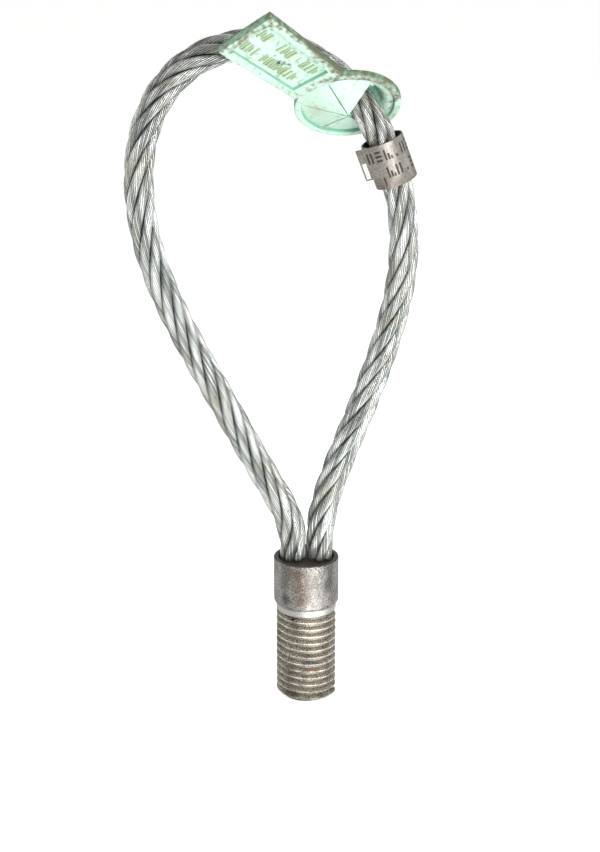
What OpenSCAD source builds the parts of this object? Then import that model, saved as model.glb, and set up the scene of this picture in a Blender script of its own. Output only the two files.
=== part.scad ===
// Wire-rope lifting loop: a loop of six-strand steel wire rope whose two ends are pressed
// into one threaded steel ferrule, with a loose identification tag and a loose steel band.
// Millimetres. Z runs up the ferrule's axis, Z = 0 is the collar's seat on the socket face,
// and the loop stands in the XZ plane.

/* [Rope] */
// Diameter of the wire rope
rope_d = 9.5; // [9:0.1:9.6]
// Diameter of the straight strand in the middle
core_d = 3.2; // [2.4:0.1:3.2]
// Length of rope in which a strand goes once round
lay_length = 61; // [50:1:80]
// Strands laid round the middle one
strand_count = 6; // [6]
// Turn of the first strand at the rope's first end
lay_start = 0; // [0:5:60]
// Rope diameter in the ferrule's mouth, as a share of the free rope's
mouth_squeeze = 0.905; // [0.85:0.005:0.91]

/* [Ferrule] */
// Diameter of the plain collar
collar_d = 21.6; // [21:0.1:24]
// Height of the plain collar
collar_h = 16; // [16:0.5:20]
// Outer diameter of the thread
thread_d = 20; // [20]
// Thread pitch
thread_pitch = 2.5; // [2:0.5:2.5]
// Number of full thread turns
thread_turns = 12; // [8:1:12]
// Length of the plain ring between collar and thread
neck_h = 2.2; // [1.5:0.1:3]
// Height of the cone that leads the thread in
lead_h = 1.5; // [1:0.1:2]
// Diameter of the bore that holds the pressed rope ends
bore_d = 10.6; // [10:0.1:12]
// Diameter of the mouth where both legs of the loop go in
mouth_d = 18.6; // [18.2:0.1:19.4]
// Depth of the rope ends' top below the collar's rim
mouth_recess = 1; // [1]

/* [Tag] */
// Outer diameter of the round eye
eye_d = 32.8; // [32:0.2:34]
// Width of the eye's rim
eye_rim_w = 2.2; // [1.6:0.1:2.4]
// Height of the eye's rim
eye_rim_h = 2.4; // [2:0.1:2.6]
// Number of petals that the eye's web is slit into
petal_count = 6; // [6]
// Petals that the rope has pushed out of the way
petals_open = 2; // [2]
// Thickness of the petals
petal_t = 0.9; // [0.7:0.1:1.2]
// Height to which the petals' tips are pushed
petal_rise = 4; // [2:0.5:5]
// Width of the slits between petals
slit_w = 0.5; // [0.3:0.1:0.8]
// Distance from the eye's centre to the plate's far end
plate_reach = 51; // [48:0.5:54]
// Width of the plate
plate_w = 18.6; // [18:0.2:20]
// Thickness of the plate
plate_t = 2.6; // [2.2:0.1:3]
// Length of the sunk panel
panel_l = 30; // [24:0.5:31]
// Width of the sunk panel
panel_w = 13.4; // [12:0.2:14]
// Depth of the sunk panel
panel_depth = 1.2; // [0.8:0.1:1.4]
// Width of the frame at the plate's far end
frame_w = 2.4; // [2:0.1:3]

/* [Band] */
// Outer diameter of the band
band_d = 13.4; // [13.2:0.1:14]
// Thickness of the band's sheet
band_t = 0.6; // [0.5:0.05:0.7]
// Length of the band along the rope
band_h = 14; // [12:0.5:15]
// How far the sheet's straight end stands out past the band's side
flange_out = 2.2; // [1.5:0.1:2.6]
// Length of the straight end along the rope
flange_h = 10; // [8:0.5:11]
// Length of the slot in the straight end
slot_h = 5.2; // [4:0.2:6]
// Width of the slot in the straight end
slot_w = 1.7; // [1.2:0.1:1.8]

/* [Hidden] */
$fn = 96;

// Colours
forged_steel = "#8f8a84";
dark_scale = "#413a34";
zinc_wire = "#c3c8c6";
mint_plastic = "#c4f0dc";
band_steel = "#aaa5a0";

// The rope's route: control points [x, z] of an even cubic B-spline. The loop leans to the left.
// The first and last three points stand on the two legs' straight starts in the ferrule's mouth.
route = [
    [-4.4, 3], [-4.4, 15], [-4.4, 28.5], [-12, 41], [-20, 56], [-28, 71], [-36, 86], [-43.5, 101],
    [-49.5, 117], [-52.5, 134], [-52, 151], [-46, 167], [-34, 178.5], [-17.5, 183], [-1, 180],
    [13, 170], [22.5, 156], [28.5, 140.5], [31, 124], [30, 107.5], [26, 91], [21, 75.5],
    [15, 60], [9, 44.5], [4.4, 29.5], [4.4, 15], [4.4, 2]
];
spans = len(route) - 3;

// Where the loose pieces hang
tag_eye = [12.5, 0, 164];      // centre of the tag's eye
tag_heading = -134.5;          // compass turn of the plate, seen from above
tag_climb = 28;                // how steeply the plate points up
tag_roll = -151;               // turn that brings the sunk panel to the front
tag_pivot = [17.1, 0, 163.57]; // where the rope's middle goes through the eye
tag_axis_tilt = 144;           // tilt of the rope there, from straight up
band_at = [25.5, 0, 146.9];    // middle of the band
band_lean_side = -21;          // lean of the band along the loop
band_lean_front = 6;           // lean of the band towards the front

// Rope
lay_angle = atan(PI * rope_d * 2 / 3 / lay_length); // slope of a strand's own middle line
ring_share = 2.045;  // middle radius of six straight strands that just clear, in strand radii
strand_r = rope_d / 2 / (1 + ring_share / cos(lay_angle));
helix_r = rope_d / 2 - strand_r;
strand_sides = 8;
rings_per_span = 5;
core_rings_per_span = 3;
squeeze_from = 4;    // the rope keeps its mouth size over this length
squeeze_to = 14;     // and has its full size from this length on

// Ferrule
shank_h = neck_h + thread_turns * thread_pitch + lead_h;
thread_depth = 0.5413 * thread_pitch;       // depth of the standard 60 degree thread
crest_w = thread_pitch / 8;                 // its flat crest
flank_w = (thread_pitch - 3 * crest_w) / 2; // its flank, with a root twice the crest's width
lead_in = 0.4;       // how far the end cone runs in below the thread's root
root_r = thread_d / 2 - thread_depth;
collar_break = 0.6;  // bevel at the collar's lower edge
rim_break = 0.3;     // bevel at the collar's top edge
cone_h = 6;          // height over which the mouth narrows to the bore
mouth_h = 3.5;       // height of the mouth's straight wall
slug_top = collar_h - mouth_recess;

// Tag
eye_inner_r = eye_d / 2 - eye_rim_w;
slit_turn = -70;     // turn of the first closed petal's free edge from the plate's direction
rope_gap = 0.9;      // room left round the rope where it goes through
rope_clear_r = rope_d / 2 + rope_gap;
rim_lap = 0.4;       // how far petals and plate run into the eye's rim
panel_start = plate_reach - frame_w - panel_l;
edge_break = 0.4;

// Band
band_r = band_d / 2;
flange_turn = 242;   // where the sheet leaves the round, seen along the rope
// Length of the straight end, so that its edge lies flange_out past the band's side
flange_run = (band_r * (1 + cos(flange_turn)) + flange_out) / sin(flange_turn - 180);
slot_edge = 0.3;     // metal left at the slot's outer side
slot_foot = 0.3;     // and below it

// ---- the rope's route -------------------------------------------------------------------
function place_weights(t) =
    [pow(1 - t, 3), 3 * pow(t, 3) - 6 * t * t + 4, -3 * pow(t, 3) + 3 * t * t + 3 * t + 1,
     pow(t, 3)] / 6;
function run_weights(t) =
    [-pow(1 - t, 2), 3 * t * t - 4 * t, -3 * t * t + 2 * t + 1, t * t] / 2;
function blend(k, w) =
    w[0] * route[k] + w[1] * route[k + 1] + w[2] * route[k + 2] + w[3] * route[k + 3];
function span_of(u) = min(floor(u), spans - 1);
function middle(u) = blend(span_of(u), place_weights(u - span_of(u)));
function heading(u) =
    let (run = blend(span_of(u), run_weights(u - span_of(u)))) run / norm(run);

// Lengths from the first end to each of n + 1 even places
function lengths(n) =
    [for (i = 0, s = 0; i <= n;
          s = s + norm(middle(min((i + 1) * spans / n, spans)) - middle(i * spans / n)), i = i + 1)
        s];
function smooth(x) = let (c = max(0, min(1, x))) c * c * (3 - 2 * c);
// Size of the rope at length s, as a share of the free rope's
function share(s, total) =
    1 - (1 - mouth_squeeze)
        * (1 - smooth((min(s, total - s) - squeeze_from) / (squeeze_to - squeeze_from)));

// One ring of a strand, square to the rope: its middle lies at radius r_helix and turn phi,
// and its outline is as the slanted strand shows in that cut. The ring's corners keep their
// direction from ring to ring, so the tube's faces don't twist.
function strand_ring(u, r_helix, r_strand, phi, slant) =
    let (m = middle(u),
         h = heading(u),
         side = [h[1], 0, -h[0]],
         back = [0, 1, 0],
         out = cos(phi) * side + sin(phi) * back,
         along = -sin(phi) * side + cos(phi) * back)
    [for (j = [0 : strand_sides - 1])
        let (a = 360 * (j + 0.5) / strand_sides - phi)
        [m[0], 0, m[1]] + (r_helix + r_strand * cos(a)) * out
            + r_strand / cos(slant) * sin(a) * along];

// A closed tube through rings of equal size
module tube_through(rings) {
    n = len(rings);
    sides = len(rings[0]);
    walls = [for (i = [0 : n - 2], j = [0 : sides - 1])
        let (k = (j + 1) % sides)
        each [[i * sides + j, (i + 1) * sides + j, (i + 1) * sides + k],
              [i * sides + j, (i + 1) * sides + k, i * sides + k]]];
    first = [for (j = [0 : sides - 1]) j];
    last = [for (j = [sides - 1 : -1 : 0]) (n - 1) * sides + j];
    polyhedron([for (ring = rings) each ring], concat(walls, [first, last]), convexity = 12);
}

module rope_strand(r_helix, r_strand, start, slant, per_span) {
    n = spans * per_span;
    s = lengths(n);
    tube_through([for (i = [0 : n])
        let (size = share(s[i], s[n]))
        strand_ring(i * spans / n, r_helix * size, r_strand * size,
                    start + 360 * s[i] / lay_length, slant)]);
}

module outer_strand(number) {
    color(zinc_wire)
        rope_strand(helix_r, strand_r, lay_start + 360 * number / strand_count, lay_angle,
                    rings_per_span);
}

module core_strand() {
    color(zinc_wire)
        rope_strand(0, core_d / 2, 0, 0, core_rings_per_span);
}

// ---- the ferrule ------------------------------------------------------------------------
// Outline of one thread ridge below z, from the ridge's upper foot to its lower foot
function ridge(z) = [
    [root_r, z],
    [thread_d / 2, z - flank_w],
    [thread_d / 2, z - flank_w - crest_w],
    [root_r, z - 2 * flank_w - crest_w]
];

module ferrule() {
    lead_top = -neck_h - thread_turns * thread_pitch;
    outline = concat(
        [[0, collar_h], [collar_d / 2 - rim_break, collar_h], [collar_d / 2, collar_h - rim_break],
         [collar_d / 2, collar_break], [collar_d / 2 - collar_break, 0], [thread_d / 2, 0],
         [thread_d / 2, -neck_h + flank_w]],
        [for (i = [0 : thread_turns - 1]) each ridge(-neck_h - i * thread_pitch)],
        [[root_r, lead_top], [root_r - lead_in, -shank_h], [0, -shank_h]]);
    color(forged_steel)
        difference() {
            rotate_extrude() polygon(outline);
            rotate_extrude() polygon(cavity_outline(1));
        }
}

// Outline of the room for the rope ends; extra runs it past both ends for a clean cut
function cavity_outline(extra) =
    let (top = slug_top + (extra > 0 ? mouth_recess + extra : 0))
    [[0, -shank_h - extra], [bore_d / 2, -shank_h - extra],
     [bore_d / 2, slug_top - mouth_h - cone_h], [mouth_d / 2, slug_top - mouth_h],
     [mouth_d / 2, top], [0, top]];

module pressed_rope_ends() {
    color(dark_scale)
        rotate_extrude() polygon(cavity_outline(0));
}

// ---- the tag ----------------------------------------------------------------------------
// Local frame: X towards the plate's far end, Z out of the side with the sunk panel
module place_tag() {
    translate(tag_eye)
        rotate([0, 0, tag_heading])
            rotate([0, -tag_climb, 0])
                rotate([tag_roll, 0, 0])
                    children();
}

module tag_plate() {
    x0 = eye_inner_r;
    length = plate_reach - x0;
    translate([x0, -plate_w / 2, -plate_t / 2])
        difference() {
            cube([length, plate_w, plate_t]);
            translate([panel_start - x0, (plate_w - panel_w) / 2, plate_t - panel_depth])
                cube([panel_l, panel_w, plate_t]);
            for (y = [0, plate_w])
                translate([length, y, -1])
                    rotate([0, 0, 45])
                        cube([edge_break * 2, edge_break * 2, 3 * plate_t], center = true);
        }
}

module eye_rim() {
    half = eye_rim_h / 2;
    rotate_extrude()
        polygon([[eye_inner_r, -half], [eye_d / 2 - edge_break, -half],
                 [eye_d / 2, -half + edge_break], [eye_d / 2, half - edge_break],
                 [eye_d / 2 - edge_break, half], [eye_inner_r, half]]);
}

module petals() {
    closed = (petal_count - petals_open) * 360 / petal_count;
    edge_r = eye_inner_r + rim_lap;
    difference() {
        rotate([0, 0, slit_turn])
            rotate_extrude(angle = closed)
                polygon([[0, petal_rise - petal_t / 2], [edge_r, -petal_t / 2],
                         [edge_r, petal_t / 2], [0, petal_rise + petal_t / 2]]);
        for (i = [1 : petal_count - petals_open - 1])
            rotate([0, 0, slit_turn + i * 360 / petal_count])
                translate([0, -slit_w / 2, -petal_rise])
                    cube([eye_inner_r - rim_lap, slit_w, 3 * petal_rise]);
    }
}

module id_tag() {
    color(mint_plastic)
        difference() {
            place_tag() {
                difference() {
                    tag_plate();
                    cylinder(r = eye_inner_r + eye_rim_w / 2, h = 20, center = true);
                }
                eye_rim();
                petals();
            }
            translate(tag_pivot)
                rotate([0, tag_axis_tilt, 0])
                    cylinder(r = rope_clear_r, h = 30, center = true);
        }
}

// ---- the band ---------------------------------------------------------------------------
// Local frame: Z up along the rope, the straight end on the -X side towards the front
module place_band() {
    translate(band_at)
        rotate([0, band_lean_side, 0])
            rotate([band_lean_front, 0, 0])
                children();
}

module band_flange() {
    rotate([0, 0, flange_turn])
        translate([band_r - band_t, -flange_run, band_h / 2 - flange_h])
            difference() {
                cube([band_t, flange_run, flange_h]);
                translate([-1, slot_edge, slot_foot])
                    cube([band_t + 2, slot_w, slot_h]);
            }
}

module id_band() {
    color(band_steel)
        place_band() {
            difference() {
                cylinder(r = band_r, h = band_h, center = true);
                cylinder(r = band_r - band_t, h = band_h + 2, center = true);
            }
            band_flange();
        }
}

ferrule();
pressed_rope_ends();
core_strand();
outer_strand(0);  // strand_1
outer_strand(1);  // strand_2
outer_strand(2);  // strand_3
outer_strand(3);  // strand_4
outer_strand(4);  // strand_5
outer_strand(5);  // strand_6
id_tag();
id_band();
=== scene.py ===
import math

import bmesh
import bpy
from mathutils import Matrix, Vector


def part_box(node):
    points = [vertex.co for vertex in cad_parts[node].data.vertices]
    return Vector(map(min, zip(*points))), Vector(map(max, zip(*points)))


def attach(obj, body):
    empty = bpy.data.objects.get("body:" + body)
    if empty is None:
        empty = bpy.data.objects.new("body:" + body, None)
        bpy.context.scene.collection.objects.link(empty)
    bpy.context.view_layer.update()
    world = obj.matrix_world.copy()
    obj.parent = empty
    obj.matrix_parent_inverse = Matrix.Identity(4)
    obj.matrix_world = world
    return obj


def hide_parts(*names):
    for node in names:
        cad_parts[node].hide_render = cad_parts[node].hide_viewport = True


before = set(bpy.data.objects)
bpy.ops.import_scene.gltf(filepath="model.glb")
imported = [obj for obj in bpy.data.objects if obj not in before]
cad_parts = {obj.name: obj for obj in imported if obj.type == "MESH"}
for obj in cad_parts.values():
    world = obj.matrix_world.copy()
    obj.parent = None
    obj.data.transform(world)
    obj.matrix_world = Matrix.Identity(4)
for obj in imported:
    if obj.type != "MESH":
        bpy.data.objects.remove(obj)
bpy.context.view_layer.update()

# Wire rope lifting loop. Lengths in this file are millimetres where a name has no unit,
# and mm() turns them to the frame's metres. The rope's size, route and lay repeat the part's,
# but it has its full size a little sooner above the ferrule, so that its legs touch there.
MM = 0.001

# Rope
ROPE_D = 9.5
LAY_LENGTH = 61          # rope length in which a strand goes once round
MOUTH_SQUEEZE = 0.905    # rope size in the ferrule's mouth, as a share of its free size
SQUEEZE_FROM = 0         # the rope keeps that size over this length
SQUEEZE_TO = 11          # and has its free size from here on
STRANDS = 6
RING_SHARE = 2.045       # middle radius of six strands that just clear, in strand radii
ROUTE = [(-4.4, 3), (-4.4, 15), (-4.4, 28.5), (-12, 41), (-20, 56), (-28, 71), (-36, 86),
         (-43.5, 101), (-49.5, 117), (-52.5, 134), (-52, 151), (-46, 167), (-34, 178.5),
         (-17.5, 183), (-1, 180), (13, 170), (22.5, 156), (28.5, 140.5), (31, 124), (30, 107.5),
         (26, 91), (21, 75.5), (15, 60), (9, 44.5), (4.4, 29.5), (4.4, 15), (4.4, 2)]

DIRT_AND_SHADE_TOP = (142, 168)   # heights between which the wire turns dirtier and darker: dirt, and painted shade behind the tag

# Wires in a strand
WIRES = 14               # outer wires of one strand
WIRE_LAY = 23.7          # strand length in which a wire goes once round the strand, left-handed
RINGS = 276              # rings along a wire: about twelve for each turn it makes

# Ferrule
COLLAR_D = 21.6
COLLAR_H = 16
MOUTH_D = 18.6
BORE_D = 10.6
THREAD_D = 20
PITCH = 2.5
TURNS = 12
NECK_H = 2.2
LEAD_H = 1.5
SLUG_TOP = 15            # height of the pressed rope ends in the mouth
THREAD_DEPTH = 0.5413 * PITCH
SHANK_H = NECK_H + TURNS * PITCH + LEAD_H

# Tag: X towards the plate's far end, Z out of the side with the sunk panel
TAG_EYE = (12.5, 0, 164)
TAG_HEADING, TAG_CLIMB, TAG_ROLL = -134.5, 28, -151
EYE_R, RIM_W, RIM_H = 16.4, 2.2, 2.4
PETAL_T, PETAL_RISE = 0.9, 4
PETAL_FOOT = -0.6        # height at which the petals leave the rim
SECTOR = 60              # angle of one petal, in degrees
FIRST_SLIT = -70         # free edge of the first petal that lies in place, in degrees
SLIT_W = 0.34
CLOSED_PETALS = 4
BENT_PETALS = ((4, -14, 5.6), (5, 14, 7))  # number, lap in degrees, distance of the tip
PETAL_BEND = 40          # how far the bent petals are turned back, in degrees
PLATE_REACH, PLATE_W, PLATE_T = 51, 18.6, 2.6
PANEL_L, PANEL_W, PANEL_DEPTH, FRAME_W = 30, 13.4, 1.2, 2.4
PLATE_TWIST = 12         # the plate's twist along its length, in degrees
PLATE_SHRUNK = (1.2, 1.8)  # how far its far end is drawn in: all of it, and its dirty corner more

# Band: Z along the rope
BAND_AT = (25.5, 0, 146.9)
BAND_LEAN_SIDE, BAND_LEAN_FRONT = -21, 6
BAND_D, BAND_T, BAND_H = 13.4, 0.6, 14
FLANGE_TURN, FLANGE_OUT, FLANGE_H = 242, 2.2, 10
SLOT_H, SLOT_W, SLOT_EDGE, SLOT_FOOT = 5.2, 1.7, 0.3, 0.3


def mm(*values):
    """A point given in millimetres, in metres."""
    return Vector(values) * MM


def srgb(code):
    """A colour such as "#8f8a84" as linear RGBA."""
    shares = [int(code[i:i + 2], 16) / 255 for i in (1, 3, 5)]
    return [s / 12.92 if s < 0.04045 else ((s + 0.055) / 1.055) ** 2.4 for s in shares] + [1.0]


def add(tree, kind, values=None, **settings):
    """Adds a node. values sets inputs in use, by name or number, to a constant, a colour such
    as "#8f8a84", a socket, or a node, which stands for its first output in use."""
    node = tree.nodes.new(kind)
    for key, value in settings.items():
        setattr(node, key, value)
    for key, value in (values or {}).items():
        port = node.inputs[key] if isinstance(key, int) else next(
            p for p in node.inputs if p.name == key and p.enabled)
        if isinstance(value, bpy.types.Node):
            value = next(p for p in value.outputs if p.enabled)
        if isinstance(value, bpy.types.NodeSocket):
            tree.links.new(value, port)
        elif str(value).startswith("#"):
            port.default_value = srgb(value)
        else:
            port.default_value = value
    return node


def new_object(name, data):
    """An object in the scene with this mesh, camera or light."""
    made = bpy.data.objects.new(name, data)
    bpy.context.scene.collection.objects.link(made)
    return made


# ---- camera, floor and light ----

def add_camera():
    camera = new_object("camera", bpy.data.cameras.new("camera"))
    camera.data.sensor_fit = "VERTICAL"
    camera.data.sensor_height = 36
    camera.data.lens = 67.68
    elevation = math.radians(17)
    aim, distance = mm(-2.06, 0, 60.98), 520 * MM
    camera.location = aim + distance * Vector((0, -math.cos(elevation), math.sin(elevation)))
    camera.rotation_euler = (math.pi / 2 - elevation, 0, 0)
    camera.data.clip_start = 0.01
    bpy.context.scene.camera = camera


def add_light(name, place, aim, width, height, power):
    light = bpy.data.lights.new(name, "AREA")
    light.shape = "RECTANGLE"
    light.size, light.size_y = width, height
    light.energy = power
    lamp = new_object(name, light)
    lamp.location = place
    lamp.rotation_euler = (Vector(aim) - Vector(place)).to_track_quat("-Z", "Y").to_euler()


def add_studio():
    """A white floor and surroundings that show white but light the object less, so that metal
    keeps its contrast. Two strips stand right of the camera, one of them close and low, and
    one at each side, a little behind the object. A lit card on the floor, right of the middle,
    gives the upright steel its bright streak."""
    bpy.context.scene.view_settings.view_transform = "Standard"
    world = bpy.data.worlds.new("studio")
    world.use_nodes = True
    tree = world.node_tree
    tree.nodes.clear()
    seen = add(tree, "ShaderNodeLightPath").outputs["Is Camera Ray"]
    towards = add(tree, "ShaderNodeSeparateXYZ", {0: add(tree, "ShaderNodeTexCoord")})
    sideways = add(tree, "ShaderNodeMath", {0: towards}, operation="ABSOLUTE")
    lit = add(tree, "ShaderNodeMapRange", {"Value": sideways, "From Min": 0.35, "From Max": 0.8,
                                           "To Min": 0.55, "To Max": 0.2})
    strength = add(tree, "ShaderNodeMapRange", {"Value": seen, "To Min": lit, "To Max": 1.0})
    light = add(tree, "ShaderNodeBackground", {"Color": "#ffffff", "Strength": strength})
    add(tree, "ShaderNodeOutputWorld", {"Surface": light})
    bpy.context.scene.world = world
    middle = (0, 0, 0.07)
    add_light("strip", (0.30, -0.86, 0.36), middle, 0.1, 0.9, 3.5)
    add_light("low strip", (0.13, -0.36, 0.15), (0, 0, 0.02), 0.05, 0.34, 1.5)
    add_light("left strip", (-0.9, 0.12, 0.3), middle, 0.22, 0.8, 4.8)
    add_light("right strip", (0.9, 0.12, 0.3), middle, 0.22, 0.8, 2.8)
    add_light("top", (0.1, 0.15, 1.1), middle, 0.8, 0.8, 2)
    floor_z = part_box("ferrule")[0].z
    add_light("card", (0.036, -0.13, floor_z + 0.002), (0.036, -0.13, 1), 0.074, 0.22, 0.18)
    mesh = bpy.data.meshes.new("floor")
    reach = 12
    mesh.from_pydata([(-reach, -reach, floor_z), (reach, -reach, floor_z),
                      (reach, reach, floor_z), (-reach, reach, floor_z)], [], [(0, 1, 2, 3)])
    floor = new_object("floor", mesh)
    material, tree, _ = new_material("white studio paper")
    seen = add(tree, "ShaderNodeLightPath").outputs["Is Camera Ray"]
    paper = add(tree, "ShaderNodeMix", {"Factor": seen, "A": "#c8c8c6", "B": "#f4f4f2"},
                data_type="RGBA")
    glow = add(tree, "ShaderNodeMapRange", {"Value": seen, "To Min": 0.15, "To Max": 0.6})
    surface = add(tree, "ShaderNodeBsdfPrincipled", {
        "Base Color": paper, "Roughness": 0.9, "Emission Color": "#ffffff",
        "Emission Strength": glow})
    add(tree, "ShaderNodeOutputMaterial", {"Surface": surface})
    mesh.materials.append(material)


# ---- materials ----

def new_material(name):
    """A material, its emptied tree, and the place on the piece as a socket."""
    material = bpy.data.materials.new(name)
    material.use_nodes = True
    tree = material.node_tree
    tree.nodes.clear()
    return material, tree, add(tree, "ShaderNodeTexCoord").outputs["Object"]


def grain(size):
    """The noise scale whose mottling has this size in millimetres."""
    return 1 / (size * MM)


def patches(tree, place, size, low, high, rest=0.0, full=1.0, detail=2.0):
    """A mask of patches of this size in millimetres: rest where the noise is below low, and full
    where it is above high."""
    noise = add(tree, "ShaderNodeTexNoise",
                {"Vector": place, "Scale": grain(size), "Detail": detail})
    return add(tree, "ShaderNodeMapRange", {
        "Value": noise, "From Min": low, "From Max": high, "To Min": rest, "To Max": full})


def near(tree, place, spot, reach, solid):
    """A mask: 1 within solid of a spot, and 0 beyond reach, with a ragged edge. In millimetres."""
    ragged = add(tree, "ShaderNodeTexNoise", {"Vector": place, "Scale": grain(1.2), "Detail": 6.0})
    away = add(tree, "ShaderNodeVectorMath", {0: place, 1: spot}, operation="DISTANCE")
    away = add(tree, "ShaderNodeMath", {0: ragged, 1: reach * MM, 2: away},
               operation="MULTIPLY_ADD")
    return add(tree, "ShaderNodeMapRange", {
        "Value": away, "From Min": (reach / 2 + solid) * MM, "From Max": reach * 1.5 * MM,
        "To Min": 1.0, "To Max": 0.0})


def layered(tree, colour, layers):
    """A colour with others laid over it in turn, each with its amount."""
    for amount, shade in layers:
        colour = add(tree, "ShaderNodeMix", {"Factor": amount, "A": colour, "B": shade},
                     data_type="RGBA")
    return colour


def zinc_wire():
    """Galvanised drawn wire: bright zinc on the crowns, painted shade with old grease between
    neighbouring wires, more of it between strands and at the mouth of the ferrule, and dirt with
    painted shade near the top of the loop, round the tag and band."""
    material, tree, place = new_material("galvanised drawn wire")
    crest, crown, tone = (add(tree, "ShaderNodeAttribute", attribute_name=name).outputs["Fac"]
                          for name in ("crest", "crown", "wire_tone"))
    height = add(tree, "ShaderNodeSeparateXYZ", {0: place}).outputs["Z"]
    zinc = add(tree, "ShaderNodeMix", {"Factor": tone, "A": "#6c7572", "B": "#f3f6f4"},
               data_type="RGBA")
    rubbed = patches(tree, place, 3, 0.35, 0.65, 0.1, 0.6, detail=5.0)
    # Darker towards the top of the loop: dirt, and painted shade where the rope runs behind the tag
    top = add(tree, "ShaderNodeMapRange", {"Value": height, "From Min": DIRT_AND_SHADE_TOP[0] * MM,
                                           "From Max": DIRT_AND_SHADE_TOP[1] * MM, "To Max": rubbed})
    dull = patches(tree, place, 7, 0.48, 0.7, full=0.55)
    zinc = layered(tree, zinc, [(dull, "#a39f8c"), (top, "#6f6a5f")])
    # Painted shade with grease in the gaps between neighbouring wires, where a wire's surface turns
    # in towards its strand
    wire_gap_shade = add(tree, "ShaderNodeMapRange", {"Value": crown, "From Min": 0.4, "From Max": 0.97,
                                            "To Min": 0.95, "To Max": 0.0})
    # Painted shade with grease deep between strands, broken up by noise
    uneven = add(tree, "ShaderNodeTexNoise", {"Vector": place, "Scale": grain(1.6)})
    uneven = add(tree, "ShaderNodeMath", {0: uneven, 1: 0.14, 2: crest}, operation="MULTIPLY_ADD")
    strand_gap_shade = add(tree, "ShaderNodeMapRange", {"Value": uneven, "From Min": 0.74, "From Max": 0.84,
                                              "To Min": 0.95, "To Max": 0.0})
    # Darker just above the ferrule's mouth: painted shade, with grease
    mouth = add(tree, "ShaderNodeMapRange", {
        "Value": height, "From Min": (SLUG_TOP + 0.6) * MM, "From Max": (SLUG_TOP + 3.2) * MM,
        "To Min": 0.95, "To Max": 0.0})
    # The painted shade and grease together, laid over the zinc as near black; they also dull the
    # metal
    darkening = add(tree, "ShaderNodeMath", {0: wire_gap_shade, 1: strand_gap_shade}, operation="MAXIMUM")
    darkening = add(tree, "ShaderNodeMath", {0: darkening, 1: mouth}, operation="MAXIMUM")
    colour = layered(tree, zinc, [(darkening, "#25241f")])
    metal = add(tree, "ShaderNodeMapRange", {"Value": darkening, "To Min": 0.9, "To Max": 0.4})
    rough = patches(tree, place, 0.8, 0.3, 0.7, 0.24, 0.42)
    fine = add(tree, "ShaderNodeTexNoise", {"Vector": place, "Scale": grain(0.35)})
    bump = add(tree, "ShaderNodeBump", {"Height": fine, "Distance": 0.04 * MM, "Strength": 0.6})
    surface = add(tree, "ShaderNodeBsdfPrincipled", {
        "Base Color": colour, "Metallic": metal, "Roughness": rough, "Normal": bump})
    add(tree, "ShaderNodeOutputMaterial", {"Surface": surface})
    return material


def greased_wire():
    """The same wire deep in the rope, under grease."""
    material, tree, place = new_material("greased wire")
    cloud = add(tree, "ShaderNodeTexNoise", {"Vector": place, "Scale": grain(1.2)})
    colour = add(tree, "ShaderNodeMix", {"Factor": cloud, "A": "#151310", "B": "#3f3b34"},
                 data_type="RGBA")
    surface = add(tree, "ShaderNodeBsdfPrincipled", {
        "Base Color": colour, "Metallic": 0.4, "Roughness": 0.55})
    add(tree, "ShaderNodeOutputMaterial", {"Surface": surface})
    return material


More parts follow.
